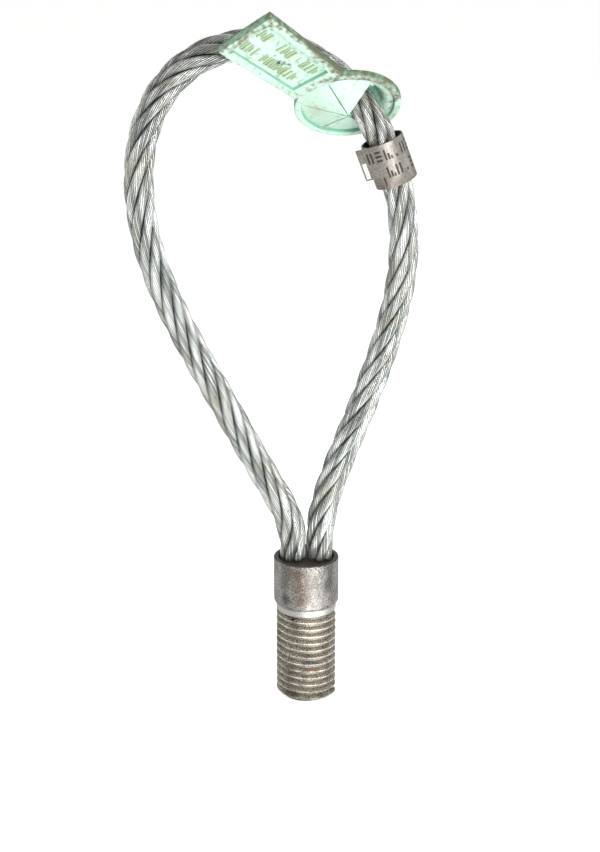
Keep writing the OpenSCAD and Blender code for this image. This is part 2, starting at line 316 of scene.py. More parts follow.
def ferrule_steel():
    """Pressed and turned carbon steel: sandy grey collar with oil stains, a painted shade and a
    painted dark reflection, a polished neck, and a dull thread with painted shade and oil in its
    roots, rubbed crests with a painted highlight, and a few spots of rust. The rim of the mouth is
    dark, with residue and painted shade."""
    material, tree, place = new_material("pressed carbon steel")
    height = add(tree, "ShaderNodeSeparateXYZ", {0: place}).outputs["Z"]
    flat = add(tree, "ShaderNodeVectorMath", {0: place, 1: (1, 1, 0)}, operation="MULTIPLY")
    radius = add(tree, "ShaderNodeVectorMath", {0: flat}, operation="LENGTH")
    sand = patches(tree, place, 0.42, 0.36, 0.64, detail=6.0)
    steel = add(tree, "ShaderNodeMix", {"Factor": sand, "A": "#6b6966", "B": "#adaaa6"},
                data_type="RGBA")
    # Thread: painted shade and oil in the roots, thin rubbed lines with a painted highlight on the
    # crests
    below = add(tree, "ShaderNodeMapRange", {"Value": height, "From Min": -NECK_H * MM,
                                             "From Max": -(NECK_H + 0.5) * MM})
    thread = add(tree, "ShaderNodeMix", {"Factor": sand, "A": "#7b776c", "B": "#b6b0a3"},
                 data_type="RGBA")
    # Darker in the roots: painted shade, with oil
    root_shade_and_oil = add(tree, "ShaderNodeMapRange", {
        "Value": radius, "From Min": (THREAD_D / 2 - THREAD_DEPTH) * MM,
        "From Max": (THREAD_D / 2 - 0.5) * MM, "To Min": 0.4, "To Max": 0.0})
    # Lighter on the crests: a painted highlight, with wear, broken up by noise
    crest = add(tree, "ShaderNodeMapRange", {
        "Value": radius, "From Min": (THREAD_D / 2 - 0.16) * MM,
        "From Max": (THREAD_D / 2 - 0.02) * MM})
    chipped = patches(tree, place, 1.8, 0.38, 0.6, 0.1, 0.9, detail=5.0)
    crest = add(tree, "ShaderNodeMath", {0: crest, 1: chipped}, operation="MULTIPLY")
    thread = layered(tree, thread, [(root_shade_and_oil, "#4b463c"), (crest, "#e2ddcb")])
    # Dark clouds, drawn out along the ferrule, rust on the thread, oil, and the larger patches:
    # stains and dirt, a painted shade low on the left of the collar, and a painted dark reflection
    # right of its highlight
    drawn = add(tree, "ShaderNodeMapping", {"Vector": place, "Scale": (1, 1, 0.4)})
    cloud = patches(tree, drawn, 4.5, 0.47, 0.62, full=0.6, detail=3.0)
    spots = add(tree, "ShaderNodeTexNoise", {"Vector": place, "Scale": grain(1.5), "Detail": 2.0})
    rust = add(tree, "ShaderNodeMapRange", {"Value": spots, "From Min": 0.73, "From Max": 0.75,
                                            "To Max": below})
    oil = add(tree, "ShaderNodeMapRange", {"Value": spots, "From Min": 0.31, "From Max": 0.29})
    layers = [(below, thread), (cloud, "#57524e"), (rust, "#b8702f"), (oil, "#2b2622")]
    blot_strength = 0.65
    for spot, reach, solid, shade in (((-2.6, -10.5, 13), 3, 1, "#6d5643"),
                                      ((-2.2, -10.6, 8.5), 3.4, 1, "#6d5643"),
                                      ((-1.9, -10.6, 4), 3, 1, "#6d5643"),
                                      # a painted shade, low on the left of the collar
                                      ((-6.8, -8.4, 3.5), 2.6, 0.6, "#2f2b28"),
                                      # a painted dark reflection, right of the collar's highlight
                                      ((7.5, -7.8, 9), 3.4, 0.8, "#454242"),
                                      ((-8.2, -5.7, -10.7), 0.9, 0.3, "#c8691f"),
                                      ((2.5, -9.7, -21.9), 0.9, 0.4, "#c8691f"),
                                      ((-5.5, -8, -32.5), 4.5, 2, "#44362c")):
        blot = near(tree, place, mm(*spot), reach, solid)
        blot = add(tree, "ShaderNodeMath", {0: blot, 1: blot_strength}, operation="MULTIPLY")
        layers.append((blot, shade))
    # Neck, then the rim and inside of the mouth, near black: residue, and painted shade in the
    # mouth
    neck = add(tree, "ShaderNodeMapRange", {"Value": height, "From Min": -0.25 * MM,
                                            "From Max": -0.4 * MM})
    neck = add(tree, "ShaderNodeMath", {0: neck, 1: below}, operation="SUBTRACT")
    rim = add(tree, "ShaderNodeMapRange", {
        "Value": height, "From Min": (COLLAR_H - 0.3) * MM, "From Max": (COLLAR_H - 0.12) * MM})
    inside = add(tree, "ShaderNodeMapRange", {
        "Value": radius, "From Min": (MOUTH_D / 2 + 0.2) * MM,
        "From Max": (MOUTH_D / 2 + 0.1) * MM})
    high = add(tree, "ShaderNodeMath", {0: height, 1: 5 * MM}, operation="GREATER_THAN")
    inside = add(tree, "ShaderNodeMath", {0: inside, 1: high}, operation="MULTIPLY")
    rim = add(tree, "ShaderNodeMath", {0: rim, 1: inside}, operation="MAXIMUM")
    steel = layered(tree, steel, layers + [(neck, "#b4b2af"), (rim, "#332d28")])
    dirty = add(tree, "ShaderNodeMapRange", {"Value": below, "To Min": 0.9, "To Max": 0.65})
    metal = add(tree, "ShaderNodeMapRange", {"Value": rim, "To Min": dirty, "To Max": 0.2})
    worn = add(tree, "ShaderNodeMapRange", {"Value": sand, "To Min": 0.2, "To Max": 0.38})
    rough = add(tree, "ShaderNodeMapRange", {"Value": neck, "To Min": worn, "To Max": 0.32})
    bump = add(tree, "ShaderNodeBump", {"Height": sand, "Distance": 0.06 * MM, "Strength": 0.7})
    surface = add(tree, "ShaderNodeBsdfPrincipled", {
        "Base Color": steel, "Metallic": metal, "Roughness": rough, "Normal": bump})
    add(tree, "ShaderNodeOutputMaterial", {"Surface": surface})
    return material


def pressed_wire():
    """Wire ends pressed to one mass, dark with scale and oil, and with painted shade deep in the
    ferrule's mouth.
    """
    material, tree, place = new_material("pressed wire ends")
    cloud = add(tree, "ShaderNodeTexNoise", {"Vector": place, "Scale": grain(0.9), "Detail": 5.0})
    colour = add(tree, "ShaderNodeMix", {"Factor": cloud, "A": "#1d1916", "B": "#4a4139"},
                 data_type="RGBA")
    bump = add(tree, "ShaderNodeBump", {"Height": cloud, "Distance": 0.1 * MM})
    surface = add(tree, "ShaderNodeBsdfPrincipled", {
        "Base Color": colour, "Metallic": 0.2, "Roughness": 0.55, "Normal": bump})
    add(tree, "ShaderNodeOutputMaterial", {"Surface": surface})
    return material


def mint_plastic():
    """Moulded polypropylene, mint green: a deeper green painted as shade on steep walls and on the
    bent petals, brown dirt on worn edges, olive dirt on the raised marks, and a black scuff on the
    sunk panel."""
    material, tree, place = new_material("moulded polypropylene")
    darkening, mark, hollow_shade = (add(tree, "ShaderNodeAttribute", attribute_name=name).outputs["Fac"]
                           for name in ("darkening", "mark", "hollow_shade"))
    # A deeper green on steep walls and on the bent petals: painted shade
    steep = add(tree, "ShaderNodeVectorMath", {
        0: add(tree, "ShaderNodeTexCoord").outputs["Normal"], 1: tag_place().col[2][:3]},
        operation="DOT_PRODUCT")
    steep = add(tree, "ShaderNodeMath", {0: steep}, operation="ABSOLUTE")
    wall = add(tree, "ShaderNodeMapRange", {"Value": steep, "From Min": 0.45, "From Max": 0.8,
                                            "To Min": 0.9, "To Max": 0.0})
    wall = add(tree, "ShaderNodeMath", {0: wall, 1: hollow_shade}, operation="MAXIMUM")
    cloud = add(tree, "ShaderNodeTexNoise", {"Vector": place, "Scale": grain(6)})
    colour = add(tree, "ShaderNodeMix", {"Factor": cloud, "A": "#b9d4c6", "B": "#accbbb"},
                 data_type="RGBA")
    rubbed = add(tree, "ShaderNodeTexNoise", {"Vector": place, "Scale": grain(1.5), "Detail": 8.0})
    olive = add(tree, "ShaderNodeMapRange", {"Value": rubbed, "From Min": 0.53, "From Max": 0.7,
                                             "To Max": 0.6})
    dirt = add(tree, "ShaderNodeMath", {0: rubbed, 1: darkening}, operation="ADD")
    dirt = add(tree, "ShaderNodeMapRange", {"Value": dirt, "From Min": 0.98, "From Max": 1.3,
                                            "To Max": 0.85})
    layers = [(wall, "#70aa90"), (mark, "#98a583"), (olive, "#9aa98a"), (dirt, "#514425")]
    for along, across in ((28.4, 0.2), (30, 0.8), (31.6, 1.4)):
        scuff = near(tree, place, tag_place() @ mm(along, across, 0.7), 1.1, 0.3)
        layers.append((scuff, "#1e1d1a"))
    smear = near(tree, place, tag_place() @ mm(5.5, 8, 2.2), 5, 0.5)
    smear = add(tree, "ShaderNodeMath", {0: smear, 1: 0.5}, operation="MULTIPLY")
    colour = layered(tree, colour, layers + [(smear, "#a5a184")])
    fine = add(tree, "ShaderNodeTexNoise", {"Vector": place, "Scale": grain(0.5)})
    bump = add(tree, "ShaderNodeBump", {"Height": fine, "Distance": 0.03 * MM})
    surface = add(tree, "ShaderNodeBsdfPrincipled", {
        "Base Color": colour, "Roughness": 0.42, "IOR": 1.49, "Normal": bump,
        "Subsurface Weight": 0.15, "Subsurface Radius": (0.6, 1.0, 0.8),
        "Subsurface Scale": 0.8 * MM})
    add(tree, "ShaderNodeOutputMaterial", {"Surface": surface})
    return material


def rolled_sheet():
    """Cold-rolled sheet steel: dull warm grey with a few painted glints, painted shade inside the
    band, stained at its foot.
    """
    material, tree, place = new_material("cold rolled sheet steel")
    foot, inside = (add(tree, "ShaderNodeAttribute", attribute_name=name).outputs["Fac"]
                    for name in ("foot", "inside"))
    sand = patches(tree, place, 0.5, 0.35, 0.65, detail=6.0)
    steel = add(tree, "ShaderNodeMix", {"Factor": sand, "A": "#7a756f", "B": "#9a958f"},
                data_type="RGBA")
    blot = patches(tree, place, 3, 0.4, 0.65, full=foot, detail=4.0)
    # Small near-white flecks: painted glints
    glint_flecks = patches(tree, place, 3, 0.76, 0.79, detail=4.0)
    # Near black inside the band: painted shade
    steel = layered(tree, steel, [(blot, "#6b5d50"), (glint_flecks, "#f0eee8"), (inside, "#2e2925")])
    metal = add(tree, "ShaderNodeMapRange", {"Value": inside, "To Min": 0.8, "To Max": 0.2})
    rough = add(tree, "ShaderNodeMapRange", {"Value": sand, "To Min": 0.42, "To Max": 0.55})
    bump = add(tree, "ShaderNodeBump", {"Height": sand, "Distance": 0.03 * MM})
    surface = add(tree, "ShaderNodeBsdfPrincipled", {
        "Base Color": steel, "Metallic": metal, "Roughness": rough, "Normal": bump})
    add(tree, "ShaderNodeOutputMaterial", {"Surface": surface})
    return material


def mark_ink():
    """Oil and dirt that fill the struck marks."""
    material, tree, place = new_material("oil in struck marks")
    cloud = add(tree, "ShaderNodeTexNoise", {"Vector": place, "Scale": grain(0.5)})
    colour = add(tree, "ShaderNodeMix", {"Factor": cloud, "A": "#191614", "B": "#37312c"},
                 data_type="RGBA")
    surface = add(tree, "ShaderNodeBsdfPrincipled", {"Base Color": colour, "Roughness": 0.6})
    add(tree, "ShaderNodeOutputMaterial", {"Surface": surface})
    return material


# ---- mesh tools ----

def piece_from(name, bm, material):
    """An object from a bmesh, not yet on a body."""
    mesh = bpy.data.meshes.new(name)
    bm.to_mesh(mesh)
    bm.free()
    mesh.materials.append(material)
    return new_object(name, mesh)


def settle(piece, body, slot, *nodes, sharp=35):
    """Smooth shading with true edges, then the piece's body, its slot, which is not used, and the
    CAD nodes that it stands in place of."""
    piece.data.polygons.foreach_set("use_smooth", [True] * len(piece.data.polygons))
    piece.data.set_sharp_from_angle(angle=math.radians(sharp))
    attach(piece, body)
    if nodes:
        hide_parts(*nodes)


def flattened(piece):
    """The piece with its modifiers applied."""
    graph = bpy.context.evaluated_depsgraph_get()
    mesh = bpy.data.meshes.new_from_object(piece.evaluated_get(graph), depsgraph=graph,
                                           preserve_all_data_layers=True)
    piece.modifiers.clear()
    piece.data = mesh
    return piece


def filleted(corners, steps=4):
    """An outline through corners (x, y, fillet), with each fillet as a smooth curve."""
    points = []
    for i, (x, y, size) in enumerate(corners):
        here = Vector((x, y))
        if not size:
            points.append(here)
            continue
        before = (Vector(corners[i - 1][:2]) - here).normalized() * size
        after = (Vector(corners[(i + 1) % len(corners)][:2]) - here).normalized() * size
        for k in range(steps + 1):
            t = k / steps
            points.append(here + before * (1 - t) ** 2 + after * t ** 2)
    return points


def turn(bm, outline, steps=96, closed=False):
    """Turns an outline of (radius, height) points, in millimetres, about the Z axis."""
    rings = []
    for radius, height in outline:
        if radius < 1e-6:
            rings.append([bm.verts.new(mm(0, 0, height))] * steps)
            continue
        rings.append([bm.verts.new(mm(radius * math.cos(a), radius * math.sin(a), height))
                      for a in (2 * math.pi * k / steps for k in range(steps))])
    pairs = list(zip(rings, rings[1:] + rings[:1])) if closed else list(zip(rings, rings[1:]))
    for lower, upper in pairs:
        for k in range(steps):
            n = (k + 1) % steps
            corners = [lower[k], lower[n], upper[n], upper[k]]
            corners = [v for i, v in enumerate(corners) if v not in corners[:i]]
            bm.faces.new(corners)


def new_tree(name, inputs):
    """A Geometry Nodes tree with its named inputs, and its input and output nodes."""
    tree = bpy.data.node_groups.new(name, "GeometryNodeTree")
    tree.interface.new_socket("Geometry", in_out="INPUT", socket_type="NodeSocketGeometry")
    tree.interface.new_socket("Geometry", in_out="OUTPUT", socket_type="NodeSocketGeometry")
    for label, kind in inputs.items():
        tree.interface.new_socket(label, in_out="INPUT", socket_type="NodeSocket" + kind)
    return tree, add(tree, "NodeGroupInput").outputs, tree.nodes.new("NodeGroupOutput")


def grown(name, host, tree, values):
    """The tree's result on a host mesh, with these input values, as a plain mesh object."""
    piece = new_object(name, host)
    modifier = piece.modifiers.new("shape", "NODES")
    modifier.node_group = tree
    for socket in tree.interface.items_tree:
        if socket.in_out == "INPUT" and socket.name in values:
            modifier[socket.identifier] = values[socket.name]
    return flattened(piece)


# ---- rope ----

def route_line(steps_per_span=20):
    """Points along the rope's middle, an even cubic B-spline that follows ROUTE's points. It
    starts and ends inside the pressed ends."""
    points = []
    spans = len(ROUTE) - 3
    for i in range(spans * steps_per_span + 1):
        k = min(i // steps_per_span, spans - 1)
        t = i / steps_per_span - k
        weights = ((1 - t) ** 3, 3 * t ** 3 - 6 * t * t + 4,
                   -3 * t ** 3 + 3 * t * t + 3 * t + 1, t ** 3)
        x, z = (sum(w * ROUTE[k + j][axis] for j, w in enumerate(weights)) / 6 for axis in (0, 1))
        points.append(mm(x, 0, z))
    return points


def line_mesh(points):
    mesh = bpy.data.meshes.new("line")
    mesh.from_pydata(points, [(i, i + 1) for i in range(len(points) - 1)], [])
    return mesh


def strand_tree():
    """Lays one strand round the rope's middle line, and its wires round the strand."""
    tree, ins, out = new_tree("laid strand", {
        "Rings": "Int", "Lay start": "Float", "Lay length": "Float", "Helix radius": "Float",
        "Wires": "Int", "Wire lay": "Float", "Wire circle": "Float", "Wire radius": "Float",
        "Mouth squeeze": "Float", "Squeeze from": "Float", "Squeeze to": "Float", "Seed": "Int",
        "Wire": "Material", "Filling": "Material"})
    line = add(tree, "GeometryNodeMeshToCurve", {"Mesh": ins["Geometry"]})
    line = add(tree, "GeometryNodeResampleCurve", {"Curve": line, "Count": ins["Rings"]})
    length = add(tree, "GeometryNodeSplineParameter").outputs["Length"]
    total = add(tree, "GeometryNodeSplineLength").outputs["Length"]
    rest = add(tree, "ShaderNodeMath", {0: total, 1: length}, operation="SUBTRACT")
    to_end = add(tree, "ShaderNodeMath", {0: length, 1: rest}, operation="MINIMUM")
    share = add(tree, "ShaderNodeMapRange", {
        "Value": to_end, "From Min": ins["Squeeze from"], "From Max": ins["Squeeze to"],
        "To Min": ins["Mouth squeeze"], "To Max": 1.0}, interpolation_type="SMOOTHSTEP")
    heading = add(tree, "GeometryNodeInputTangent")
    side = add(tree, "ShaderNodeVectorMath", {0: (0, 1, 0), 1: heading}, operation="CROSS_PRODUCT")
    turns = add(tree, "ShaderNodeMath", {0: length, 1: ins["Lay length"]}, operation="DIVIDE")
    angle = add(tree, "ShaderNodeMath", {0: turns, 1: 2 * math.pi, 2: ins["Lay start"]},
                operation="MULTIPLY_ADD")
    outward = add(tree, "ShaderNodeVectorRotate", {"Vector": side, "Axis": heading, "Angle": angle})
    middle = add(tree, "GeometryNodeInputPosition")
    kinds = {"along": "FLOAT", "share": "FLOAT", "outward": "FLOAT_VECTOR",
             "middle": "FLOAT_VECTOR", "strand_middle": "FLOAT_VECTOR"}
    for name, value in (("along", length), ("share", share), ("outward", outward),
                        ("middle", middle)):
        line = add(tree, "GeometryNodeStoreNamedAttribute",
                   {"Geometry": line, "Name": name, "Value": value}, data_type=kinds[name])
    kept = {name: add(tree, "GeometryNodeInputNamedAttribute", {"Name": name}, data_type=kind)
            for name, kind in kinds.items()}
    reach = add(tree, "ShaderNodeMath", {0: kept["share"], 1: ins["Helix radius"]},
                operation="MULTIPLY")
    offset = add(tree, "ShaderNodeVectorMath", {0: kept["outward"], "Scale": reach},
                 operation="SCALE")
    strand = add(tree, "GeometryNodeSetPosition", {"Geometry": line, "Offset": offset})
    strand = add(tree, "GeometryNodeStoreNamedAttribute",
                 {"Geometry": strand, "Name": "strand_middle", "Value": middle},
                 data_type="FLOAT_VECTOR")

    copies = add(tree, "GeometryNodeDuplicateElements",
                 {"Geometry": strand, "Amount": ins["Wires"]}, domain="SPLINE")
    number = copies.outputs["Duplicate Index"]
    tone = add(tree, "FunctionNodeRandomValue", {"ID": number, "Seed": ins["Seed"]},
               data_type="FLOAT").outputs[1]
    wires = add(tree, "GeometryNodeStoreNamedAttribute",
                {"Geometry": copies, "Name": "wire_tone", "Value": tone}, data_type="FLOAT")
    first = add(tree, "ShaderNodeMath", {0: number, 1: ins["Wires"]}, operation="DIVIDE")
    back = add(tree, "ShaderNodeMath", {0: kept["along"], 1: ins["Wire lay"]}, operation="DIVIDE")
    laid = add(tree, "ShaderNodeMath", {0: kept["along"], 1: ins["Lay length"]}, operation="DIVIDE")
    back = add(tree, "ShaderNodeMath", {0: back, 1: laid}, operation="ADD")
    turns = add(tree, "ShaderNodeMath", {0: first, 1: back}, operation="SUBTRACT")
    angle = add(tree, "ShaderNodeMath", {0: turns, 1: 2 * math.pi}, operation="MULTIPLY")
    heading = add(tree, "GeometryNodeInputTangent")
    away = add(tree, "ShaderNodeVectorRotate",
               {"Vector": kept["outward"], "Axis": heading, "Angle": angle})
    reach = add(tree, "ShaderNodeMath", {0: kept["share"], 1: ins["Wire circle"]},
                operation="MULTIPLY")
    offset = add(tree, "ShaderNodeVectorMath", {0: away, "Scale": reach}, operation="SCALE")
    wires = add(tree, "GeometryNodeSetPosition", {"Geometry": wires, "Offset": offset})
    from_middle = add(tree, "ShaderNodeVectorMath", {0: middle, 1: kept["middle"]},
                      operation="DISTANCE").outputs["Value"]
    outermost = add(tree, "ShaderNodeMath", {0: ins["Helix radius"], 1: ins["Wire circle"]},
                    operation="ADD")
    outermost = add(tree, "ShaderNodeMath", {0: outermost, 1: kept["share"]},
                    operation="MULTIPLY")
    crest = add(tree, "ShaderNodeMath", {0: from_middle, 1: outermost}, operation="DIVIDE")
    wires = add(tree, "GeometryNodeStoreNamedAttribute",
                {"Geometry": wires, "Name": "crest", "Value": crest}, data_type="FLOAT")
    round_wire = add(tree, "GeometryNodeCurvePrimitiveCircle",
                     {"Resolution": 10, "Radius": ins["Wire radius"]})
    wires = add(tree, "GeometryNodeCurveToMesh",
                {"Curve": wires, "Profile Curve": round_wire, "Fill Caps": True})
    from_strand = add(tree, "ShaderNodeVectorMath", {0: middle, 1: kept["strand_middle"]},
                      operation="DISTANCE").outputs["Value"]
    above = add(tree, "ShaderNodeMath", {0: from_strand, 1: reach}, operation="SUBTRACT")
    crown = add(tree, "ShaderNodeMath", {0: above, 1: ins["Wire radius"]}, operation="DIVIDE")
    wires = add(tree, "GeometryNodeStoreNamedAttribute",
                {"Geometry": wires, "Name": "crown", "Value": crown}, data_type="FLOAT")
    wires = add(tree, "GeometryNodeSetMaterial", {"Geometry": wires, "Material": ins["Wire"]})

    fat = add(tree, "ShaderNodeMath", {0: ins["Wire circle"], 1: 0.88}, operation="MULTIPLY")
    round_fill = add(tree, "GeometryNodeCurvePrimitiveCircle", {"Resolution": 8, "Radius": fat})
    filling = add(tree, "GeometryNodeCurveToMesh",
                  {"Curve": strand, "Profile Curve": round_fill, "Fill Caps": True})
    filling = add(tree, "GeometryNodeSetMaterial",
                  {"Geometry": filling, "Material": ins["Filling"]})
    both = add(tree, "GeometryNodeJoinGeometry")
    for part in (wires, filling):
        tree.links.new(part.outputs[0], both.inputs[0])
    for name in kinds:
        both = add(tree, "GeometryNodeRemoveAttribute", {"Geometry": both, "Name": name})
    real = add(tree, "GeometryNodeRealizeInstances", {"Geometry": both})
    tree.links.new(real.outputs[0], out.inputs[0])
    return tree


def add_rope(wire, greased):
    lay_angle = math.atan(math.pi * ROPE_D * 2 / 3 / LAY_LENGTH)
    strand_r = ROPE_D / 2 / (1 + RING_SHARE / math.cos(lay_angle))
    helix_r = ROPE_D / 2 - strand_r
    packing = math.sin(math.pi / WIRES)  # wire radius over wire circle where the wires touch
    wire_r = strand_r * packing / (1 + packing)
    tree = strand_tree()
    line = line_mesh(route_line())
    for number in range(STRANDS):
        piece = grown(f"strand_{number + 1}_wires", line, tree, {
            "Rings": RINGS, "Lay start": 2 * math.pi * number / STRANDS,
            "Lay length": LAY_LENGTH * MM, "Helix radius": helix_r * MM, "Wires": WIRES,
            "Wire lay": WIRE_LAY * MM, "Wire circle": (strand_r - wire_r) * MM,
            "Wire radius": wire_r * MM, "Mouth squeeze": MOUTH_SQUEEZE,
            "Squeeze from": SQUEEZE_FROM * MM, "Squeeze to": SQUEEZE_TO * MM, "Seed": number,
            "Wire": wire, "Filling": greased})
        settle(piece, "loop", "zinc_wire", f"strand_{number + 1}", sharp=80)
    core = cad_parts["core_strand"]
    core.data.materials.clear()
    core.data.materials.append(greased)


# ---- ferrule ----

def thread_tree():
    """A thread ridge: its section swept along a helix, and faded out at both ends."""
    tree, ins, out = new_tree("thread ridge", {
        "Turns": "Float", "Pitch": "Float", "Root radius": "Float", "Foot width": "Float",
        "Crest width": "Float", "Depth": "Float", "Lowest": "Float", "Fade": "Float",
        "Steel": "Material"})
    height = add(tree, "ShaderNodeMath", {0: ins["Turns"], 1: ins["Pitch"]}, operation="MULTIPLY")
    helix = add(tree, "GeometryNodeCurveSpiral", {
        "Resolution": 72, "Rotations": ins["Turns"], "Start Radius": ins["Root radius"],
        "End Radius": ins["Root radius"], "Height": height})
    lift = add(tree, "ShaderNodeCombineXYZ", {"Z": ins["Lowest"]})
    helix = add(tree, "GeometryNodeSetPosition", {"Geometry": helix, "Offset": lift})
    helix = add(tree, "GeometryNodeSetCurveNormal", {0: helix}, mode="Z_UP")
    place = add(tree, "GeometryNodeSplineParameter").outputs["Factor"]
    done = add(tree, "ShaderNodeMath", {0: place, 1: ins["Turns"]}, operation="MULTIPLY")
    left = add(tree, "ShaderNodeMath", {0: ins["Turns"], 1: done}, operation="SUBTRACT")
    to_end = add(tree, "ShaderNodeMath", {0: done, 1: left}, operation="MINIMUM")
    size = add(tree, "ShaderNodeMapRange", {"Value": to_end, "From Max": ins["Fade"],
                                            "To Min": 0.02}, interpolation_type="SMOOTHSTEP")
    helix = add(tree, "GeometryNodeSetCurveRadius", {"Curve": helix, "Radius": size})
    section = add(tree, "GeometryNodeCurvePrimitiveQuadrilateral", {
        "Bottom Width": ins["Foot width"], "Top Width": ins["Crest width"], "Offset": 0.0,
        "Height": ins["Depth"]}, mode="TRAPEZOID")
    half = add(tree, "ShaderNodeMath", {0: ins["Depth"], 1: 0.5}, operation="MULTIPLY")
    rise = add(tree, "ShaderNodeCombineXYZ", {"Y": half})
    section = add(tree, "GeometryNodeSetPosition", {"Geometry": section, "Offset": rise})
    section = add(tree, "GeometryNodeTransform",
                  {"Geometry": section, "Rotation": (0, 0, math.pi / 2)})
    ridge = add(tree, "GeometryNodeCurveToMesh",
                {"Curve": helix, "Profile Curve": section, "Fill Caps": True})
    ridge = add(tree, "GeometryNodeSetMaterial", {"Geometry": ridge, "Material": ins["Steel"]})
    real = add(tree, "GeometryNodeRealizeInstances", {"Geometry": ridge})
    tree.links.new(real.outputs[0], out.inputs[0])
    return tree


def add_ferrule(steel, pressed):
    root_r = THREAD_D / 2 - THREAD_DEPTH
    lead_top = -NECK_H - TURNS * PITCH
    bm = bmesh.new()
    wall = filleted([
        (BORE_D / 2, -SHANK_H, 0), (root_r - 0.9, -SHANK_H, 0.3), (root_r, lead_top, 0.4),
        (root_r, -NECK_H - 0.9, 0), (THREAD_D / 2, -NECK_H, 0.2), (THREAD_D / 2, 0, 0.1),
        (COLLAR_D / 2 - 0.6, 0, 0.15), (COLLAR_D / 2, 0.7, 0.35), (COLLAR_D / 2, COLLAR_H, 0.4),
        (MOUTH_D / 2, COLLAR_H, 0.25), (MOUTH_D / 2, SLUG_TOP - 3.5, 0),
        (BORE_D / 2, SLUG_TOP - 9.5, 0)])
    turn(bm, wall, steps=128, closed=True)
    settle(piece_from("ferrule_body", bm, steel), "loop", "ferrule_steel", "ferrule")
    empty = bpy.data.meshes.new("helix")
    ridge = grown("ferrule_thread", empty, thread_tree(), {
        "Turns": TURNS - 0.3, "Pitch": PITCH * MM, "Root radius": (root_r - 0.03) * MM,
        "Foot width": PITCH * 0.76 * MM, "Crest width": PITCH / 8 * MM,
        "Depth": (THREAD_DEPTH + 0.03) * MM, "Lowest": (lead_top - 0.3) * MM, "Fade": 0.5,
        "Steel": steel})
    settle(ridge, "loop", "ferrule_steel", sharp=50)

    bm = bmesh.new()
    slug = [(0, -SHANK_H + 0.15, 0), (BORE_D / 2 - 0.4, -SHANK_H + 0.15, 0),
            (BORE_D / 2, -SHANK_H + 0.5, 0), (BORE_D / 2, SLUG_TOP - 9.5, 0),
            (MOUTH_D / 2, SLUG_TOP - 3.5, 0), (MOUTH_D / 2, SLUG_TOP - 0.2, 0),
            (MOUTH_D / 2 - 1, SLUG_TOP, 0.3), (0, SLUG_TOP, 0)]
    turn(bm, filleted(slug))
    mass = piece_from("pressed_wire_mass", bm, pressed)
    settle(mass, "loop", "pressed_ends", "pressed_rope_ends")


# ---- tag ----

def tag_place():
    return (Matrix.Translation(mm(*TAG_EYE)) @ Matrix.Rotation(math.radians(TAG_HEADING), 4, "Z")
            @ Matrix.Rotation(math.radians(-TAG_CLIMB), 4, "Y")
            @ Matrix.Rotation(math.radians(TAG_ROLL), 4, "X"))


def add_plate(bm):
    """The plate with its sunk panel, twisted a little along its length."""
    start = EYE_R - RIM_W + 0.4
    panel_end = PLATE_REACH - FRAME_W
    panel_start = panel_end - PANEL_L
    stops = [start] + [panel_start + PANEL_L * k / 12 for k in range(13)] + [PLATE_REACH]
    half, sunk, top = PLATE_W / 2, PANEL_W / 2, PLATE_T / 2
    section = [(-half, top), (-sunk, top), (sunk, top), (half, top), (half, -top), (sunk, -top),
               (-sunk, -top), (-half, -top)]
    loops = [[bm.verts.new(mm(x, y, z)) for y, z in section] for x in stops]
    panel = []
    for i, (this, after) in enumerate(zip(loops, loops[1:])):
        for k in range(len(section)):
            n = (k + 1) % len(section)
            face = bm.faces.new([this[k], this[n], after[n], after[k]])
            if k == 1 and 0 < i < len(loops) - 2:
                panel.append(face)
    bm.faces.new(loops[0])
    bm.faces.new(loops[-1][::-1])
    floor = bmesh.ops.extrude_face_region(bm, geom=panel)["geom"]
    bmesh.ops.translate(bm, vec=mm(0, 0, -PANEL_DEPTH),
                        verts=[v for v in floor if isinstance(v, bmesh.types.BMVert)])
    bmesh.ops.delete(bm, geom=panel, context="FACES")


